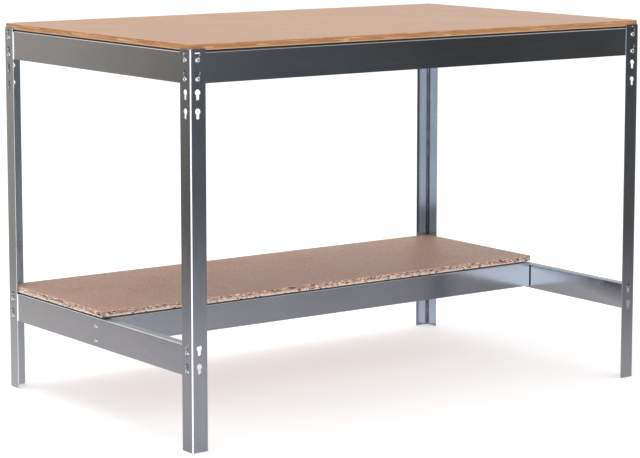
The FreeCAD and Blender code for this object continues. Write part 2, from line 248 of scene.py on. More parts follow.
@dataclass(frozen=True)
class Effect:
    """A shader node group, built once and placed in each material that shows the effect.

    A function draws the group and names its outputs. Inputs and outputs are values, apart from coordinates.
    """

    inputs: tuple[str, ...]
    draw: Callable[[Graph], Results]

    @cache
    def group(self) -> bpy.types.NodeTree:
        """The node group, made at the first call.

        Returns:
            The group's tree.
        """
        tree = bpy.data.node_groups.new(self.draw.__name__, "ShaderNodeTree")
        for name in self.inputs:
            kind = VECTOR if name in COORDINATES else VALUE
            tree.interface.new_socket(name, in_out="INPUT", socket_type=kind)
        results = self.draw(Graph(tree, "NodeGroupInput"))
        for name in results:
            tree.interface.new_socket(name, in_out="OUTPUT", socket_type=VALUE)
        end = tree.nodes.new("NodeGroupOutput")
        for name, socket in results.items():
            tree.links.new(socket, end.inputs[name])
        return tree

    def place(self, graph: Surface, **values: object) -> Outputs:
        """Put the effect in a material, with these inputs beside the coordinates."""
        links = {"Place": graph.place} | {name.title(): value for name, value in values.items()}
        return graph.node("Group", links, node_tree=self.group()).outputs


@partial(Effect, ("Place", "Rolled", "Crystals"))
def zinc_bloom(graph: Graph) -> Results:
    """Zinc coat: faint crystals, rolling lines along the sheet and slow waves that bend reflections.

    Args:
        graph: The group's graph.

    Returns:
        Shade and gloss about 0.5, and a height.
    """
    given = graph.given
    crystal = graph.cells(given["Place"], given["Crystals"], "Red")
    streak = graph.noise(given["Rolled"], scale=260.0, roughness=0.6)
    cloud = graph.noise(given["Place"], scale=3.0, detail=2.0)
    waves = graph.noise(given["Rolled"], scale=9.0, detail=1.0)
    return {
        "Shade": graph.weigh((streak, 0.45), (cloud, 0.48), (crystal, 0.07)),
        "Gloss": graph.weigh((cloud, 0.7), (streak, 0.26), (crystal, 0.04)),
        "Height": graph.weigh((waves, 1.0), (streak, 0.04)),
    }


@partial(Effect, ("Place", "Patches"))
def handling_marks(graph: Graph) -> Results:
    """Scuffs and rubbed-in dirt: broken patches with fine scratches across them.

    Args:
        graph: The group's graph.

    Returns:
        A mask of smudges and a mask of scratches.
    """
    given = graph.given
    patches = graph.noise(given["Place"], given["Patches"], detail=5.0, roughness=0.65)
    smudge = graph.span(patches, low=0.52, high=0.72)
    scuffed = graph.span(patches, low=0.45, high=0.6)
    slanted = graph.stretch(given["Place"], scale=(6.0, 60.0, 25.0), turn=(0.4, 0.7, 0.9))
    hair = graph.span(graph.noise(slanted, scale=6.0, detail=2.0), low=0.68, high=0.74)
    return {"Smudge": smudge, "Scratch": graph.math("MULTIPLY", hair, scuffed)}


@partial(Effect, ("Place", "Chips"))
def cut_edge_wear(graph: Graph) -> Results:
    """Sawn and sheared edges: the faces marked as cut, broken up along their length.

    Args:
        graph: The group's graph.

    Returns:
        A mask of the cut edge, the same mask broken up by wear, and a mask of the arris above it.
    """
    given = graph.given
    mark = graph.node("Attribute", attribute_name=CUT_EDGE).outputs["Fac"]
    edge = graph.span(mark, ARRIS_MARK, EDGE_MARK)
    chips = graph.span(graph.noise(given["Place"], given["Chips"]), low=0.35, high=0.65, out_low=0.25)
    arris = graph.math("SUBTRACT", graph.span(mark, 0.0, ARRIS_MARK), edge)
    return {"Edge": edge, "Worn": graph.math("MULTIPLY", edge, chips), "Arris": arris}


@partial(Effect, ("Place",))
def painted_hollow_shade(graph: Graph) -> Results:
    """Painted shade: patchy in the hollow of a fold, lighter where a post covers a beam, full in a seam.

    Args:
        graph: The group's graph.

    Returns:
        A mask of the painted shade.
    """
    given = graph.given
    hollow = graph.node("Attribute", attribute_name=PAINTED_SHADE).outputs["Fac"]
    patches = graph.noise(given["Place"], scale=40.0, detail=4.0)
    patches = graph.span(patches, low=0.25, high=0.6, out_low=0.62, out_high=0.82)
    patchy_shade = graph.math("MULTIPLY", graph.span(hollow, low=0.1, high=0.8), patches)
    return {"Grime": graph.math("MAXIMUM", patchy_shade, graph.span(hollow, low=HOLLOW_MARK, high=1.6))}


@partial(Effect, ("Place", "Flakes"))
def pressed_fibre(graph: Graph) -> Results:
    """Pressed wood: flakes of several tones, the gaps between them and a slow change of tone.

    Args:
        graph: The group's graph.

    Returns:
        Tone of each flake, a slow cloud and a height.
    """
    given = graph.given
    place, scale = given["Place"], given["Flakes"]
    sway = graph.node("TexNoise", {"Vector": place, "Scale": 160.0, "Detail": 2.0}).outputs["Color"]
    bent = graph.node("VectorMath", {0: sway, 1: FLAKE_SWAY, 2: place}, operation="MULTIPLY_ADD").outputs[0]
    tone = graph.cells(bent, scale, "Green")
    rims = graph.node("TexVoronoi", {"Vector": bent, "Scale": scale}, feature="DISTANCE_TO_EDGE")
    gap = graph.span(rims.outputs["Distance"], low=0.12, high=0.0)
    cloud = graph.noise(place, scale=5.0, detail=5.0, roughness=0.6)
    return {"Tone": tone, "Cloud": cloud, "Height": graph.weigh((tone, 0.5), (gap, -1.0))}


# Finishes


@dataclass(frozen=True)
class ZincSteel:
    """Galvanised or zinc plated steel."""

    name: str
    dull: Colour
    bright: Colour
    grime: Colour
    hollow_shade: Colour
    smooth: float
    rough: float
    crystals: float
    wave_height: float
    bloom_range: Point = (0.35, 0.65)
    line_stretch: float = 0.05
    patches: float = 9.0
    chips: float = 180.0
    smudge_share: float = 0.06
    edge_share: float = 0.6
    scratch_dulling: float = 0.05
    shade_mask_dulling: float = 0.15

    @cache
    def material(self, grain: GrainAxis) -> Material:
        """The finish on a piece that was rolled along one axis.

        Args:
            grain: The axis of the rolling lines.

        Returns:
            The material.
        """
        graph = Surface(f"{self.name}_{grain.name.lower()}")
        scale = [self.line_stretch if axis is grain else 1.0 for axis in GrainAxis]
        zinc = zinc_bloom.place(graph, rolled=graph.stretch(graph.place, scale), crystals=self.crystals)
        marks = handling_marks.place(graph, patches=self.patches)
        edge = cut_edge_wear.place(graph, chips=self.chips)
        shade_mask = painted_hollow_shade.place(graph)["Grime"]
        colour = graph.mix(graph.span(zinc["Shade"], *self.bloom_range), self.dull, self.bright)
        colour = graph.mix(marks["Smudge"], colour, self.grime, self.smudge_share)
        # Painted shade, a near-black blue, in fold hollows, in pockets behind the posts and in the seams of
        # the tabs.
        colour = graph.mix(shade_mask, colour, self.hollow_shade)
        colour = graph.mix(edge["Worn"], colour, self.bright, self.edge_share)
        gloss = graph.span(zinc["Gloss"], *self.bloom_range, self.smooth, self.rough)
        dulled = ((marks["Scratch"], self.scratch_dulling), (shade_mask, self.shade_mask_dulling))
        gloss = graph.weigh((gloss, 1.0), *dulled)
        normal = graph.bump(zinc["Height"], strength=1.0, distance=self.wave_height)
        return graph.shade({"Base Color": colour, "Roughness": gloss, "Metallic": 1.0, "Normal": normal})


@dataclass(frozen=True)
class PressedBoard:
    """Board pressed from wood fibre or flakes, with a face and a sawn edge.

    The rim holds three heights of the edge: where its rebate, painted in shade, ends, and where its painted
    highlight along the foot fades and ends.
    """

    name: str
    face_dark: Colour
    face_light: Colour
    edge_dark: Colour
    edge_light: Colour
    edge_pale_and_highlight: Colour
    stain_and_pit_shade: Colour
    # Near-black, the painted shade in the rebate under the edge.
    rebate: Colour
    flakes: float
    flake_contrast: float
    edge_flakes: float
    edge_stretch: Triple
    pits: float
    rim: Triple
    scuffs: float
    roughness: Point
    relief: float
    painted_reflection: Colour = (0.33, 0.37, 0.42, 1)
    painted_reflection_share: float = 0.85
    tone_range: Point = (0.25, 0.75)
    gloss_range: Point = (0.3, 0.7)
    pale_tones: Point = (0.82, 0.9)
    pale_and_highlight_share: float = 0.9
    arris_highlight_share: float = 0.7
    pit_share: float = 0.95
    pit_fade: float = 0.05
    rebate_fade: float = 0.1 * MM
    patches: float = 5.0
    chips: float = 120.0
    smudge_share: float = 0.12
    smudge_dulling: float = 0.06
    face_relief: float = 0.3
    bump_share: float = 0.6

    def material(self) -> Material:
        """The finish of one board.

        Returns:
            The material.
        """
        graph = Surface(self.name)
        flat = graph.stretch(graph.place, self.edge_stretch)
        face = pressed_fibre.place(graph, flakes=self.flakes)
        sawn = pressed_fibre.place(graph, place=flat, flakes=self.edge_flakes)
        marks = handling_marks.place(graph, patches=self.patches)
        edge = cut_edge_wear.place(graph, chips=self.chips)
        tone = graph.weigh((face["Tone"], self.flake_contrast), (face["Cloud"], 1.0 - self.flake_contrast))
        top = graph.mix(graph.span(tone, *self.tone_range), self.face_dark, self.face_light)
        top = graph.mix(marks["Smudge"], top, self.stain_and_pit_shade, self.smudge_share)
        top = graph.mix(marks["Scratch"], top, self.stain_and_pit_shade, self.scuffs)
        height = graph.node("SeparateXYZ", {"Vector": graph.place}).outputs["Z"]
        foot, lit_top, fade_top = self.rim
        # Painted highlight along the foot of the sawn edge, joined with the real pale flakes.
        lit_foot = graph.span(height, low=fade_top, high=lit_top)
        pale_and_lit = graph.math("MAXIMUM", lit_foot, graph.span(sawn["Tone"], *self.pale_tones))
        # Painted shade: the darkest flakes of the sawn edge are painted near-black as chipped pits.
        pits = graph.span(sawn["Tone"], low=self.pits + self.pit_fade, high=self.pits)
        rebate_shade = graph.span(height, low=foot + self.rebate_fade, high=foot)
        side = graph.mix(sawn["Tone"], self.edge_dark, self.edge_light)
        side = graph.mix(pale_and_lit, side, self.edge_pale_and_highlight, self.pale_and_highlight_share)
        side = graph.mix(pits, side, self.stain_and_pit_shade, self.pit_share)
        # Painted shade: the rebate under the board is painted near-black.
        side = graph.mix(rebate_shade, side, self.rebate)
        colour = graph.mix(edge["Edge"], top, side)
        # Painted highlight along the eased upper arris.
        colour = graph.mix(edge["Arris"], colour, self.edge_pale_and_highlight, self.arris_highlight_share)
        # Painted reflection: seen in the steel, the board shows blue-grey instead of its own colour.
        in_steel = graph.node("LightPath").outputs["Is Glossy Ray"]
        colour = graph.mix(in_steel, colour, self.painted_reflection, self.painted_reflection_share)
        gloss = graph.span(face["Cloud"], *self.gloss_range, *self.roughness)
        gloss = graph.weigh((gloss, 1.0), (marks["Smudge"], self.smudge_dulling))
        sawn_height = graph.math("MULTIPLY", sawn["Height"], edge["Edge"])
        relief = graph.weigh((face["Height"], self.face_relief), (sawn_height, 1.0))
        normal = graph.bump(relief, self.bump_share, self.relief)
        return graph.shade({"Base Color": colour, "Roughness": gloss, "Normal": normal})


STEEL = ZincSteel(
    name="galvanised_steel",
    dull=(0.53, 0.54, 0.56, 1), bright=(0.60, 0.61, 0.63, 1),
    grime=(0.36, 0.35, 0.34, 1), hollow_shade=(0.012, 0.018, 0.035, 1),
    smooth=0.10, rough=0.14, crystals=320.0, wave_height=0.10 * MM)
SATIN_STEEL = replace(
    STEEL, name="satin_steel",
    dull=(0.585, 0.595, 0.62, 1), bright=(0.66, 0.67, 0.695, 1),
    smooth=0.16, rough=0.20)
RIVET_ZINC = replace(
    STEEL, name="plated_rivet",
    dull=(0.78, 0.79, 0.81, 1), bright=(0.95, 0.96, 0.97, 1), grime=(0.30, 0.30, 0.31, 1),
    smooth=0.16, rough=0.26, crystals=600.0, wave_height=0.03 * MM)
WORKTOP_BOARD = PressedBoard(
    name="worktop_fibreboard",
    face_dark=(0.465, 0.275, 0.178, 1), face_light=(0.535, 0.325, 0.215, 1),
    edge_dark=(0.38, 0.165, 0.056, 1), edge_light=(0.55, 0.265, 0.10, 1), edge_pale_and_highlight=(0.68, 0.39, 0.21, 1),
    stain_and_pit_shade=(0.30, 0.17, 0.10, 1), rebate=(0.03, 0.015, 0.01, 1), flakes=420.0, flake_contrast=0.25,
    edge_flakes=500.0, edge_stretch=(0.06, 0.06, 1.0), pits=-0.1, rim=(812 * MM, 813 * MM, 815 * MM),
    scuffs=0.2, roughness=(0.38, 0.55), relief=0.10 * MM)
SHELF_BOARD = PressedBoard(
    name="shelf_chipboard",
    face_dark=(0.40, 0.225, 0.152, 1), face_light=(0.60, 0.37, 0.275, 1),
    edge_dark=(0.36, 0.20, 0.135, 1), edge_light=(0.68, 0.45, 0.34, 1), edge_pale_and_highlight=(1.00, 0.80, 0.69, 1),
    stain_and_pit_shade=(0.10, 0.05, 0.03, 1), rebate=(0.05, 0.03, 0.02, 1), flakes=260.0, flake_contrast=0.45,
    edge_flakes=300.0, edge_stretch=(0.55, 0.55, 1.6), pits=0.13, rim=(221 * MM, 222.5 * MM, 227 * MM),
    scuffs=0.5, roughness=(0.34, 0.5), relief=0.5 * MM)


# Folded sheet

LEAST_MITRE = 0.3
LEAST_SHARE = 1e-6
ON_LINE = 1e-7
FILL_HULL, FILL_MERGE = 0, 1e-9


def pairs(ring: Sequence) -> list[tuple]:
    """Each item of a closed ring with the next one."""
    return list(zip(ring, [*ring[1:], ring[0]]))


def offset_ring(ring: Sequence[Point], inset: float) -> list[Point]:
    """Move the sides of a closed outline to its left by a distance, with mitred corners.

    Args:
        ring: The corners in order.
        inset: The distance, positive into an anticlockwise outline.

    Returns:
        The moved corners.
    """
    runs = [(Vector(second) - Vector(first)).normalized() for first, second in pairs(ring)]
    lefts = [Vector((-run.y, run.x)) for run in runs]
    moved = []
    for index, (x, y) in enumerate(ring):
        bisector = (lefts[index - 1] + lefts[index]).normalized()
        reach = inset / max(bisector.dot(lefts[index - 1]), LEAST_MITRE)
        moved.append((x + bisector.x * reach, y + bisector.y * reach))
    return moved


def inside(ring: Sequence[Point], x: float, y: float) -> bool:
    """Whether a point lies within a closed outline, by the number of sides to its right."""
    level = [(first, second) for first, second in pairs(ring) if (first[1] > y) != (second[1] > y)]
    return sum(x < x1 + (y - y1) * (x2 - x1) / (y2 - y1) for (x1, y1), (x2, y2) in level) % 2 == 1


def arc(centre: Point, radius: float, start: float, end: float, steps: int) -> list[Point]:
    """Points along an arc from one angle in radians to another, both included, as a number of chords."""
    turns = [start + (end - start) * step / steps for step in range(steps + 1)]
    return [(centre[0] + radius * math.cos(turn), centre[1] + radius * math.sin(turn)) for turn in turns]


def bridge(bm: Mesh, rims: Sequence[Sequence[Vert]]) -> list[Face]:
    """Join rings of vertices by bands of smooth faces.

    Args:
        bm: The mesh being built.
        rims: The rings in order, all of one length.

    Returns:
        The new faces.
    """
    faces = []
    for upper, lower in zip(rims, rims[1:]):
        for (first, second), (third, fourth) in zip(pairs(upper), pairs(lower)):
            faces.append(bm.faces.new((first, second, fourth, third)))
            faces[-1].smooth = True
    return faces


@dataclass(frozen=True)
class Fold:
    """A quarter-turn fold of a sheet about a line of constant first or second coordinate.

    The sheet is flat up to the start, turns inwards through a quarter circle and runs on flat.
    """

    start: float
    radius: float
    gauge: float
    steps: int = 8

    @property
    def outer(self) -> float:
        """Radius of the outer face."""
        return self.radius + self.gauge

    @property
    def run(self) -> float:
        """Length of the fold on the flat blank, along the middle of the sheet."""
        return QUARTER * (self.radius + self.gauge / 2)

    @property
    def lines(self) -> list[float]:
        """Coordinates of the lines that divide the fold on the blank."""
        return [self.start + self.run * step / self.steps for step in range(self.steps + 1)]

    def flat_length(self, leg: float) -> float:
        """Where a leg measured over the outer faces ends on the blank."""
        return self.start + self.run + leg - self.outer

    def bend(self, place: float, depth: float) -> Point:
        """Carry a place on the blank to the folded sheet.

        Args:
            place: Distance on the blank.
            depth: Distance below the outer face.

        Returns:
            The distance along the first flat and the distance inwards.
        """
        if place <= self.start:
            return place, depth
        radius = self.outer - depth
        if place >= self.start + self.run:
            return self.start + radius, self.outer + place - self.start - self.run
        angle = (place - self.start) / self.run * QUARTER
        return self.start + radius * math.sin(angle), self.outer - radius * math.cos(angle)


@dataclass
class Sheet:
    """Sizes that every folded piece shares."""

    gauge: float = 1.5 * MM
    bend_radius: float = 1.5 * MM
    edge_break: float = 0.25 * MM
    arc_steps: int = 24

    def fold(self, leg: float) -> Fold:
        """Fold at the end of a leg that is measured over the outer faces."""
        return Fold(leg - self.bend_radius - self.gauge, self.bend_radius, self.gauge)


@dataclass(frozen=True)
class Cover:
    """A patch of the outer face, at both ends of a sheet, that lies behind another sheet and gets painted
    shade.
    """

    width: float = 0.0
    near: float = 0.0
    far: float = 0.0
    mark: float = 0.0

    def mark_at(self, point: Point) -> float:
        """The patch's mark at a point of the blank that lies in it, or 0."""
        held = 0 <= point[0] <= self.width and self.near <= abs(point[1]) <= self.far
        return self.mark if held else 0.0


@dataclass
class Blank:
    """A flat sheet with its outline and holes, ready to be folded.

    Coordinates are across the sheet (first) and along it (second), and the outline runs anticlockwise.
    So does a hole that widens at both faces, and one that runs clockwise closes in there.
    Each fold is the coordinate that stays the same along it, 0 or 1, and its lines on the blank. A single
    line folds nothing, and only divides a flat.
    """

    sheet: Sheet
    outline: list[Point]
    holes: list[list[Point]]
    folds: list[tuple[int, list[float]]]
    cover: Cover = Cover()

    def ruled(self) -> list[Point]:
        """The outline with a point wherever a fold line crosses it.

        Returns:
            The corners and crossings in order.
        """
        ring = []
        for first, second in pairs(self.outline):
            ring.append(first)
            shares = []
            for axis, lines in self.folds:
                rise = second[axis] - first[axis]
                if rise:
                    shares += [(line - first[axis]) / rise for line in lines]
            for share in sorted(share for share in shares if LEAST_SHARE < share < 1 - LEAST_SHARE):
                ring.append(tuple(a + (b - a) * share for a, b in zip(first, second)))
        return ring

    def rulings(self, ring: Sequence[Point]) -> list[tuple[int, int]]:
        """Pairs of ring points that a fold line joins across the sheet.

        Args:
            ring: The outline of a face of the sheet.

        Returns:
            Index pairs.
        """
        found = []
        for axis, lines in self.folds:
            for line in lines:
                on_line = [index for index, point in enumerate(ring) if abs(point[axis] - line) < ON_LINE]
                on_line.sort(key=lambda index: ring[index][1 - axis])
                for first, second in zip(on_line, on_line[1:]):
                    if inside(ring, *((a + b) / 2 for a, b in zip(ring[first], ring[second]))):
                        found.append((first, second))
        return found

    def hollow(self, point: Point, depth: float) -> float:
        """How much painted shade a point gets, behind another sheet or in the hollow of a fold.

        Args:
            point: A point of the blank.
            depth: Its distance below the outer face.

        Returns:
            The mark, or 0 in the open.
        """
        if depth == 0:
            return self.cover.mark_at(point)
        bent = any(lines[0] <= point[axis] <= lines[-1] for axis, lines in self.folds if len(lines) > 1)
        return HOLLOW_MARK if bent and depth == self.sheet.gauge else 0.0

    def fold(self, shape: Callable[[float, float, float], Vector]) -> Mesh:
        """Build the sheet with broken edges and fold it.

        Args:
            shape: Carries across, along and depth to a place in the frame of the bench.

        Returns:
            The folded mesh.
        """
        bm = bmesh.new()
        mark = bm.faces.layers.float.new(CUT_EDGE)
        shade_mask = bm.verts.layers.float.new(PAINTED_SHADE)

        def vertex(point: Point, depth: float) -> Vert:
            """Make a vertex, marked for painted shade where it is covered or lies in the hollow of a fold.

            Args:
                point: Its point on the blank.
                depth: Its distance below the outer face.

            Returns:
                The vertex.
            """
            made = bm.verts.new(shape(*point, depth))
            made[shade_mask] = self.hollow(point, depth)
            return made

        gauge, broken = self.sheet.gauge, self.sheet.edge_break
        full = [self.ruled(), *self.holes]
        eased = [offset_ring(full[0], broken)] + [offset_ring(hole, -broken) for hole in self.holes]
        levels = ((0.0, eased), (broken, full), (gauge - broken, full), (gauge, eased))
        rims = [[[vertex(point, depth) for point in loop] for loop in loops] for depth, loops in levels]
        points, sources, triangles = self.fill(eased)
        for depth, rim in ((0.0, rims[0]), (gauge, rims[-1])):
            known = [vert for loop in rim for vert in loop]
            verts = []
            for point, source in zip(points, sources):
                verts.append(known[source[0]] if source else vertex(tuple(point), depth))
            for triangle in triangles:
                bm.faces.new([verts[corner] for corner in triangle]).smooth = True
        for edge in zip(*rims):
            for face in bridge(bm, edge):
                face[mark] = EDGE_MARK
        return bm

    def fill(self, outlines: Sequence[Sequence[Point]]) -> tuple[list[Vector], Indices, Indices]:
        """Divide a face of the sheet into triangles, leaving its holes open.

        Args:
            outlines: The outer outline and the holes on the blank.

        Returns:
            Points, what points of the outlines each comes from (none where rulings cross), and triangles.
        """
        given = [Vector(point) for outline in outlines for point in outline]
        edges, start = self.rulings(outlines[0]), 0
        for outline in outlines:
            edges += pairs(range(start, start + len(outline)))
            start += len(outline)
        points, _, triangles, sources, _, _ = delaunay_2d_cdt(given, edges, [], FILL_HULL, FILL_MERGE)
        kept = []
        for triangle in triangles:
            x, y = (sum(points[corner][axis] for corner in triangle) / 3 for axis in (0, 1))
            if inside(outlines[0], x, y) and not any(inside(hole, x, y) for hole in outlines[1:]):
                kept.append(triangle)
        return points, sources, kept


def link_mesh(bm: Mesh, name: str) -> bpy.types.Object:
    """Turn a built mesh into an object of the scene.

    Args:
        bm: The mesh, which is freed.
        name: The object's name.

    Returns:
        The object, at the origin.
    """
    mesh = bpy.data.meshes.new(name)
    bm.to_mesh(mesh)
    bm.free()
    made = bpy.data.objects.new(name, mesh)
    bpy.context.scene.collection.objects.link(made)
    return made


def dress(bm: Mesh, make: str, node: str, slot: Slot, material: Material) -> None:
    """Turn a built mesh into a piece with its finish, and let it stand for its node.

    Args:
        bm: The mesh, which is freed.
        make: Word for how the piece is made, the start of its name.
        node: The node that it replaces, the rest of its name.
        slot: The record's material slot.
        material: The finish.
    """
    bmesh.ops.recalc_face_normals(bm, faces=bm.faces)
    piece = link_mesh(bm, f"{make}_{node}")
    piece.data.set_sharp_from_angle(angle=SHARP_ANGLE)
    if slot is Slot.STEEL:
        piece.modifiers.new("even_shading", "WEIGHTED_NORMAL").keep_sharp = True
    piece.data.materials.append(material)
    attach(piece, BODY)
    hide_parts(node)
    LOG.info("%s: %d faces", piece.name, len(piece.data.polygons))


# Sub-assemblies


@dataclass
class Hooks:
    """Rivets set in the ends of the beams."""

    head_radius: float = 5.5 * MM
    head_rise: float = 2.2 * MM
    shank_radius: float = 3.3 * MM
    tail_radius: float = 4.7 * MM
    tail_rise: float = 1.2 * MM
    grip: float = 3.0 * MM
    rim: float = 0.35 * MM
    sides: int = 32
    crown_rings: int = 7
    crown_fullness: float = 0.85
    pressed_shares: Point = (0.22, 0.38)
    wear: random.Random = field(default_factory=lambda: random.Random(WEAR_SEED))

    def profile(self, flat: float) -> list[Point]:
        """Half outline of a rivet as radius and distance inwards from the underside of its head.

        Args:
            flat: Radius of the spot that the setting tool pressed flat on the crown.

        Returns:
            The points from the crown to the set end.
        """
        rise = self.head_rise - self.rim
        points = []
        for ring in range(self.crown_rings + 1):
            turn = QUARTER * ring / self.crown_rings
            radius = flat + (self.head_radius - flat) * math.sin(turn)
            points.append((radius, -self.rim - rise * math.cos(turn) ** self.crown_fullness))
        shank, tail, foot = self.shank_radius, self.tail_radius, self.grip + self.tail_rise
        points += [(self.head_radius - self.rim, 0.0), (shank, 0.0), (shank, self.grip), (tail, self.grip)]
        points += [(tail, foot - self.rim), (tail - self.rim, foot), (shank / 2, foot - self.rim)]
        return points

    def turn(self, bm: Mesh, seat: Vector, inward: Vector) -> None:
        """Add one rivet to a mesh.

        Args:
            bm: The mesh being built.
            seat: Middle of the underside of the head.
            inward: Unit vector along the shank.
        """
        side = inward.cross(Vector(UP)).normalized()
        up = side.cross(inward)
        flat = self.wear.uniform(*self.pressed_shares) * self.head_radius
        twist = self.wear.uniform(0, math.tau)
        turns = [twist + math.tau * step / self.sides for step in range(self.sides)]
        spokes = [side * math.cos(turn) + up * math.sin(turn) for turn in turns]
        rings = []
        for radius, depth in self.profile(flat):
            rings.append([bm.verts.new(seat + inward * depth + spoke * radius) for spoke in spokes])
        bridge(bm, rings)
        bm.faces.new(rings[0])
        bm.faces.new(rings[-1])

    def build(self, node: str, axis: int, both: bool = False) -> None:
        """Make and dress the rivets of one node, seated after the node's box.

        Args:
            node: The node of a set of rivets.
            axis: 0 or 1, the axis that the shanks lie along.
            both: Whether the heads are on both outer sides instead of on one.
        """
        low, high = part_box(node)
        across = 1 - axis
        bm = bmesh.new()
        for height in (low.z + self.head_radius, high.z - self.head_radius):
            for end in WAYS:
                seat, inward = Vector((0, 0, height)), Vector((0, 0, 0))
                if both:
                    seat[across] = (low[across] + high[across]) / 2
                    outside = end
                else:
                    seat[across] = (low[across] if end < 0 else high[across]) - end * self.head_radius
                    outside = 1 if low[axis] + high[axis] > 0 else -1
                inward[axis] = -outside
                seat[axis] = (high[axis] if outside > 0 else low[axis]) + inward[axis] * self.head_rise
                self.turn(bm, seat, inward)
        dress(bm, "set", node, Slot.RIVET, RIVET_ZINC.material(GrainAxis.HEIGHT))

    def build_all(self) -> None:
        """Make every set of rivets."""
        for side in Side:
            self.build(f"top_beam_rivets_{side.name.lower()}", axis=0 if side.value[0] else 1)
        for side in ("left", "right"):
            self.build(f"lower_tie_rivets_{side}", axis=0)
        self.build("lower_beam_rivets_back", axis=1)
        self.build("shelf_beam_rivets", axis=0, both=True)


@dataclass
class Posts:
    """The four angle posts with their rows of keyholes."""

    sheet: Sheet
    hooks: Hooks
    hole_line: float = 18 * MM
    pitch: float = 38 * MM
    head: float = 12.5 * MM
    slot: float = 7 * MM
    drop: float = 12 * MM
    upper_count: int = 4
    lower_count: int = 2
    shade_reach: float = 8 * MM

    def keyhole(self, across: float, seat: float) -> list[Point]:
        """Outline of a keyhole on the blank, anticlockwise.

        Args:
            across: Place of its middle across the sheet.
            seat: Height of its rivet's seat.

        Returns:
            The outline's points.
        """
        half, head = self.slot / 2, self.head / 2
        lean = math.asin(half / head)
        steps = self.sheet.arc_steps
        top = arc((across, seat + self.drop), head, lean - QUARTER, 3 * QUARTER - lean, steps)
        return top + arc((across, seat), half, -math.pi, 0, steps // 2)

    def seats(self) -> list[float]:
        """Places of the keyholes up a post, from the rivets that hang in them.

        Returns:
            The heights of the rivets' seats.
        """
        rows = (("top_beam_rivets_front", self.upper_count), ("lower_tie_rivets_left", self.lower_count))
        tops = [(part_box(node)[1].z - self.hooks.head_radius, count) for node, count in rows]
        return [top - self.pitch * row for top, count in tops for row in range(count)]

    def build(self, corner: Corner) -> None:
        """Make and dress one post.

        Args:
            corner: Where the post stands.
        """
        node = f"post_{corner.name.lower()}"
        low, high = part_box(node)
        x_way, y_way = corner.value
        outer_x, outer_y = (high.x if x_way > 0 else low.x), (high.y if y_way > 0 else low.y)
        flange = high.x - low.x
        bend = self.sheet.fold(flange)
        wide = bend.flat_length(flange)
        outline = [(0, low.z), (wide, low.z), (wide, high.z), (0, high.z)]
        middles = (flange - self.hole_line, bend.flat_length(self.hole_line))
        holes = [self.keyhole(middle, seat) for middle in middles for seat in self.seats()]
        # Lines beside the fold keep its painted shade close to the hollow.
        beside = (bend.start - self.shade_reach, bend.start + bend.run + self.shade_reach)
        folds = [(0, bend.lines)] + [(0, [line]) for line in beside]

        def shape(across: float, along: float, depth: float) -> Vector:
            """Place of a point of the blank on the post."""
            tip, inward = bend.bend(across, depth)
            return Vector((outer_x - x_way * (flange - tip), outer_y - y_way * inward, along))

        folded = Blank(self.sheet, outline, holes, folds).fold(shape)
        dress(folded, "keyhole", node, Slot.STEEL, STEEL.material(GrainAxis.HEIGHT))

    def build_all(self) -> None:
        """Make the four posts."""
        for corner in Corner:
            self.build(corner)


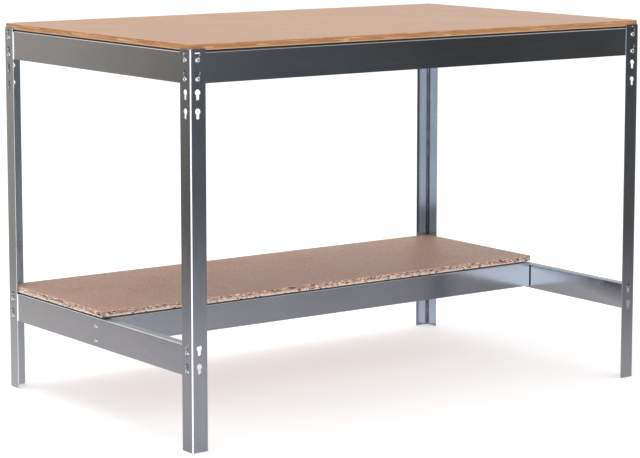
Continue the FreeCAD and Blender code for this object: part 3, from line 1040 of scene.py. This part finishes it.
@dataclass
class Beams:
    """The folded beams and ties."""

    sheet: Sheet
    hooks: Hooks
    notch_drop: float = 3.5 * MM
    notch_lip_end: float = 579.5 * MM
    hole_radius: float = 3.4 * MM
    hook_line: float = 18 * MM
    hook_rows: Point = (9 * MM, 47 * MM)
    tab_rows: Point = (7 * MM, 38 * MM)
    tab_line: float = 20 * MM
    post_cover: float = 34 * MM
    cover_fade: float = 3 * MM

    def outline(self, web: float, half: float, top: float, notched: bool) -> list[Point]:
        """Outline of a blank, anticlockwise.

        Args:
            web: Height of the web.
            half: Half of the blank's length.
            top: Width of the blank.
            notched: Whether the lip is cut back at both ends.

        Returns:
            The corners.
        """
        shoulder, end = web - self.notch_drop, self.notch_lip_end
        cut = [(shoulder, half), (shoulder, end), (top, end)] if notched else [(top, half)]
        corners = [(0, half), *cut]
        return [(across, -along) for across, along in corners] + corners[::-1]

    def hole(self, across: float, along: float) -> list[Point]:
        """Round rivet hole on the blank, clockwise, which closes in at both faces under the rivet."""
        return arc((across, along), self.hole_radius, math.tau, 0, self.sheet.arc_steps)[:-1]

    def build(self, node: str, side: Side, steel: ZincSteel, notched: bool,
              tab_holes: Sequence[Point] = ()) -> None:
        """Make and dress a beam that hangs between two posts.

        Args:
            node: The beam's node.
            side: The side of the bench that it is on.
            steel: Its finish.
            notched: Whether its lip is cut back at both ends.
            tab_holes: Further rivet holes, as height on the web and place along it.
        """
        low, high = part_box(node)
        size, web = high - low, high.z - low.z
        outside = (low + high) / 2 + Vector(side.outward[axis] * size[axis] / 2 for axis in range(3))
        half = abs(size.dot(side.along)) / 2
        bend = self.sheet.fold(web)
        outline = self.outline(web, half, bend.flat_length(abs(size.dot(side.outward))), notched)
        post_half = CAD_BOX[1][side.grain.value] - self.hooks.head_rise
        line = post_half - self.hook_line
        holes = [self.hole(row, way * line) for row in self.hook_rows for way in WAYS]
        holes += [self.hole(*place) for place in tab_holes]
        covered = post_half - self.post_cover
        shade = covered + self.cover_fade
        folds = [(0, bend.lines)] + [(1, [way * line]) for line in (covered, shade) for way in WAYS]
        # Painted shade, lighter than in a fold, on the web where a post covers it, seen through the
        # keyholes.
        pocket = Cover(bend.start, shade, half, POCKET_MARK)

        def shape(across: float, along: float, depth: float) -> Vector:
            """Place of a point of the blank on the beam."""
            up, inward = bend.bend(across, depth)
            return Vector((*(outside + side.along * along - side.outward * inward).xy, low.z + up))

        folded = Blank(self.sheet, outline, holes, folds, pocket).fold(shape)
        dress(folded, "folded", node, Slot.STEEL, steel.material(side.grain))

    def build_shelf_beam(self) -> None:
        """Make and dress the shelf's front beam with its end tabs folded back."""
        node = "shelf_beam_front"
        low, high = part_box(node)
        half, web, reach = (high.x - low.x) / 2, high.z - low.z, high.y - low.y
        top_low, top_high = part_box("top_beam_front")
        bend, tab = self.sheet.fold(web), self.sheet.fold(half)
        top = bend.flat_length(top_high.y - top_low.y)
        outline = self.outline(web, tab.flat_length(reach), top, True)
        line = tab.flat_length(self.tab_line)
        holes = [self.hole(row, way * line) for row in self.tab_rows for way in WAYS]
        lines = tab.lines
        folds = [(0, bend.lines), (1, lines), (1, [-line for line in reversed(lines)])]
        # The seam: full painted shade on the outer face of each tab's fold, against the tie.
        seam = Cover(web, lines[1], lines[-1], SEAM_MARK)

        def shape(across: float, along: float, depth: float) -> Vector:
            """Place of a point of the blank on the beam, in a tab or in the lip if not on the web."""
            (out, tab_in), (up, lip_in) = tab.bend(abs(along), depth), bend.bend(across, depth)
            return Vector((math.copysign(out, along), low.y + max(tab_in, lip_in), low.z + up))

        folded = Blank(self.sheet, outline, holes, folds, seam).fold(shape)
        dress(folded, "folded", node, Slot.STEEL, SATIN_STEEL.material(GrainAxis.LENGTH))

    def build_all(self) -> None:
        """Make the top beams, the lower beams and the ties."""
        for side in Side:
            self.build(f"top_beam_{side.name.lower()}", side, STEEL, side.grain is GrainAxis.LENGTH)
        shelf_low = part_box("shelf_beam_front")[0]
        lift = shelf_low.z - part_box("lower_tie_left")[0].z
        line = shelf_low.y + self.tab_line
        for side in (Side.LEFT, Side.RIGHT):
            holes = [(lift + row, side.along.y * line) for row in self.tab_rows]
            self.build(f"lower_tie_{side.name.lower()}", side, SATIN_STEEL, False, holes)
        self.build("lower_beam_back", Side.BACK, SATIN_STEEL, True)
        self.build_shelf_beam()


@dataclass
class Board:
    """A loose board with sawn edges and a shallow rebate below, as depth and height, that clears the folds.

    The saw's cut has a mean depth and coarse and fine marks, as shares of the roughness.
    """

    node: str
    slot: Slot
    finish: PressedBoard
    upper_ease: float
    roughness: float
    chip: float
    step: float
    rows: int
    rebate: Point = (10 * MM, 3 * MM)
    cut_shares: Triple = (0.5, 0.3, 0.2)
    coarse_waves: float = 140.0
    fine_waves: float = 520.0
    torn_waves: float = 90.0
    torn_shift: Triple = (7.0, 3.0, 1.0)
    torn_start: float = 0.35

    def offset(self, place: Vector, outward: Vector) -> Vector:
        """Where a point of the sawn edge really lies.

        Args:
            place: The point on the clean edge.
            outward: Unit vector out of the board.

        Returns:
            The point, moved inwards by saw marks and torn flakes.
        """
        mean, coarse, fine = self.cut_shares
        cut = mean + coarse * noise(place * self.coarse_waves) + fine * noise(place * self.fine_waves)
        torn = max(0.0, noise(place * self.torn_waves + Vector(self.torn_shift)) - self.torn_start)
        return place - outward * (self.roughness * cut + self.chip * torn)

    def outline(self, low: Vector, high: Vector) -> list[tuple[Vector, Vector]]:
        """Points round the board with the direction out of it at each.

        Args:
            low: Lowest corner of the board.
            high: Highest corner of the board.

        Returns:
            Places at height 0 and unit vectors, anticlockwise.
        """
        corners = ((low.x, low.y, 0), (high.x, low.y, 0), (high.x, high.y, 0), (low.x, high.y, 0))
        ring = []
        for first, second in pairs(corners):
            run = Vector(second) - Vector(first)
            out = Vector((run.y, -run.x, 0)).normalized()
            count = max(2, round(run.length / self.step))
            for step in range(count):
                lean = Vector((0, 0, 0)) if step else -run.normalized()
                ring.append((Vector(first) + run * step / count, (out + lean).normalized()))
        return ring

    def build(self) -> None:
        """Make and dress the board."""
        low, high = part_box(self.node)
        bm = bmesh.new()
        mark = bm.faces.layers.float.new(CUT_EDGE)
        ring = self.outline(low, high)
        middle, half = (low + high) / 2, (high - low) / 2
        depth, rise = self.rebate
        foot, head = low.z + rise, high.z - self.upper_ease
        levels = [(low.z, depth), (foot, depth)]
        levels += [(foot + (head - foot) * row / self.rows, 0.0) for row in range(self.rows + 1)]
        levels += [(high.z, self.upper_ease)]
        rims = []
        for height, inset in levels:
            share = [1 - inset / half[axis] for axis in (0, 1)]
            rim = []
            for place, out in ring:
                spot = (middle[axis] + (place[axis] - middle[axis]) * share[axis] for axis in (0, 1))
                rim.append(bm.verts.new(self.offset(Vector((*spot, height)), out)))
            rims.append(rim)
        for bands, kind in ((rims[:-1], EDGE_MARK), (rims[-2:], ARRIS_MARK)):
            for face in bridge(bm, bands):
                face[mark] = kind
        bm.faces.new(rims[0])
        bm.faces.new(rims[-1])
        dress(bm, "loose", self.node, self.slot, self.finish.material())


# Studio

EYE = (-3.083, -4.225, 1.185)
FRONT_WAY = (EYE[0], EYE[1], 0.0)
WHITE = (1.0, 1.0, 1.0, 1.0)
NO_FADE = (2.0, 3.0)
STRIP_DROP, STRIP_CORE, STRIP_GLOW = -0.14, 0.72, 3.0


@dataclass(frozen=True)
class Panel:
    """A pale part of the room that the steel reflects.

    It starts and ends over a reach and a fade, cosines of the angle from its way. None comes up to NO_FADE.
    """

    way: Triple
    reach: Point
    glow: float
    tint: Colour = WHITE
    fade: Point = NO_FADE

    def light(self, graph: Graph) -> Socket:
        """The panel's share of the room's light.

        Args:
            graph: The world's graph.

        Returns:
            The shader's socket.
        """
        links = {0: graph.given["Generated"], 1: Vector(self.way).normalized()}
        near = graph.node("VectorMath", links, operation="DOT_PRODUCT").outputs["Value"]
        rising = graph.span(near, *self.reach, out_high=self.glow)
        falling = graph.span(near, *reversed(self.fade))
        return graph.light(self.tint, graph.math("MULTIPLY", rising, falling))


def strip_lamp(turn: float, breadth: float) -> Panel:
    """A tall narrow lamp, with its turn from the bench's right-hand end and its half breadth in degrees."""
    reach = tuple(math.cos(math.radians(angle)) for angle in (breadth, breadth * STRIP_CORE))
    return Panel((math.cos(math.radians(turn)), math.sin(math.radians(turn)), STRIP_DROP), reach, STRIP_GLOW)


GROUND_REACH = (0.168, 0.211)
GROUND_TINT = (1.00, 0.96, 1.02, 1)
FRONT_TINT = (0.80, 0.95, 1.12, 1)
BACK_TINT = (1.00, 0.92, 0.83, 1)
ROOM = (
    Panel(DOWN, GROUND_REACH, glow=0.20, tint=GROUND_TINT),
    Panel(DOWN, GROUND_REACH, glow=0.26, tint=GROUND_TINT, fade=(0.250, 0.266)),
    Panel((-0.174, 0.985, 0), reach=(0.905, 0.945), glow=0.46, tint=BACK_TINT),
    Panel((-0.866, 0.500, 0), reach=(0.90, 0.96), glow=0.33),
    Panel((0.985, 0.174, 0), reach=(0.53, 0.95), glow=0.55),
    Panel(FRONT_WAY, reach=(0.25, 0.46), glow=0.15, tint=FRONT_TINT),
    Panel(FRONT_WAY, reach=(0.70, 0.97), glow=0.74, tint=FRONT_TINT),
    Panel(UP, reach=(0.20, 0.32), glow=1.1, fade=(0.52, 0.68)),
    strip_lamp(turn=202.5, breadth=12.5),
    strip_lamp(turn=247.5, breadth=12.5),
    strip_lamp(turn=286.0, breadth=9.5),
    strip_lamp(turn=105.0, breadth=4.5),
)


@dataclass
class Studio:
    """Floor, lights and camera."""

    floor_radius: float = 40.0
    floor_sides: int = 96
    floor_greys: tuple[Colour, Colour] = ((0.78, 0.78, 0.78, 1), (0.82, 0.82, 0.82, 1))
    floor_roughness: float = 0.8
    floor_glow: float = 0.45
    lens: float = 130.95
    shift_y: float = -0.1
    far_clip: float = 200.0
    pitch: float = 7.47
    yaw: float = -36.01
    air: float = 0.85
    air_tint: Colour = (0.98, 0.99, 1.0, 1)
    backdrop: float = 1.0
    dim: float = 0.06
    dim_tint: Colour = (0.93, 0.97, 1.0, 1)
    lamp_place: Triple = (-0.6, 0.4, 3.2)
    lamp_aim: Triple = (0, 0, 0.6)
    lamp_side: float = 2.4
    lamp_power: float = 40.0
    lamp_colour: Triple = (1.0, 0.98, 0.95)

    def lay_floor(self) -> None:
        """A pale round floor."""
        bm = bmesh.new()
        bmesh.ops.create_circle(bm, cap_ends=True, segments=self.floor_sides, radius=self.floor_radius)
        floor = link_mesh(bm, "pale_floor")
        graph = Surface("pale_floor")
        grey = graph.mix(graph.noise(graph.place, scale=1.2), *self.floor_greys)
        looks = {"Base Color": grey, "Roughness": self.floor_roughness, "Emission Color": WHITE}
        floor.data.materials.append(graph.shade({**looks, "Emission Strength": self.floor_glow}))
        floor.visible_glossy = False

    def light_room(self) -> None:
        """Even pale light all round, and a studio of dark and pale walls for the steel to reflect."""
        world = bpy.data.worlds.new("studio")
        world.use_nodes = True
        world.node_tree.nodes.clear()
        graph = Graph(world.node_tree)
        room = graph.light(self.dim_tint, self.dim)
        for panel in ROOM:
            room = graph.node("AddShader", {0: room, 1: panel.light(graph)}).outputs[0]
        rays = graph.node("LightPath").outputs
        strength = graph.span(rays["Is Camera Ray"], 0.0, 1.0, out_low=self.air, out_high=self.backdrop)
        air = graph.light(self.air_tint, strength)
        mixed = graph.node("MixShader", {0: rays["Is Glossy Ray"], 1: air, 2: room})
        graph.node("OutputWorld", {"Surface": mixed.outputs[0]})
        bpy.context.scene.world = world

    def hang_lamp(self) -> None:
        """A square soft lamp above the bench."""
        lamp = bpy.data.lights.new("top_lamp", "AREA")
        lamp.size, lamp.energy, lamp.color = self.lamp_side, self.lamp_power, self.lamp_colour
        hung = bpy.data.objects.new("top_lamp", lamp)
        hung.location = self.lamp_place
        aim = Vector(self.lamp_aim) - Vector(self.lamp_place)
        hung.rotation_euler = aim.to_track_quat("-Z", "Y").to_euler()
        hung.visible_glossy = False
        bpy.context.scene.collection.objects.link(hung)

    def set_camera(self) -> None:
        """The camera at the photograph's angle."""
        camera = bpy.data.cameras.new("camera")
        camera.lens, camera.shift_y, camera.clip_end = self.lens, self.shift_y, self.far_clip
        held = bpy.data.objects.new("camera", camera)
        held.location = EYE
        held.rotation_euler = (math.radians(90 - self.pitch), 0, math.radians(self.yaw))
        bpy.context.scene.collection.objects.link(held)
        bpy.context.scene.camera = held

    def build(self) -> None:
        """Set the whole studio up."""
        self.set_camera()
        self.lay_floor()
        self.light_room()
        self.hang_lamp()
        bpy.context.scene.view_settings.view_transform = "Standard"


def main() -> None:
    """Build the bench piece by piece, then the studio."""
    logging.basicConfig(level=logging.INFO, format="%(name)s %(message)s")
    sheet, hooks = Sheet(), Hooks()
    Posts(sheet, hooks).build_all()
    Beams(sheet, hooks).build_all()
    hooks.build_all()
    Board("worktop_board", Slot.WORKTOP, WORKTOP_BOARD, upper_ease=1.2 * MM, roughness=0.25 * MM,
          chip=0.4 * MM, step=6 * MM, rows=4).build()
    Board("shelf_board", Slot.SHELF, SHELF_BOARD, upper_ease=0.5 * MM, roughness=0.9 * MM,
          chip=2.2 * MM, step=3 * MM, rows=7).build()
    Studio().build()


if __name__ == "__main__":
    main()
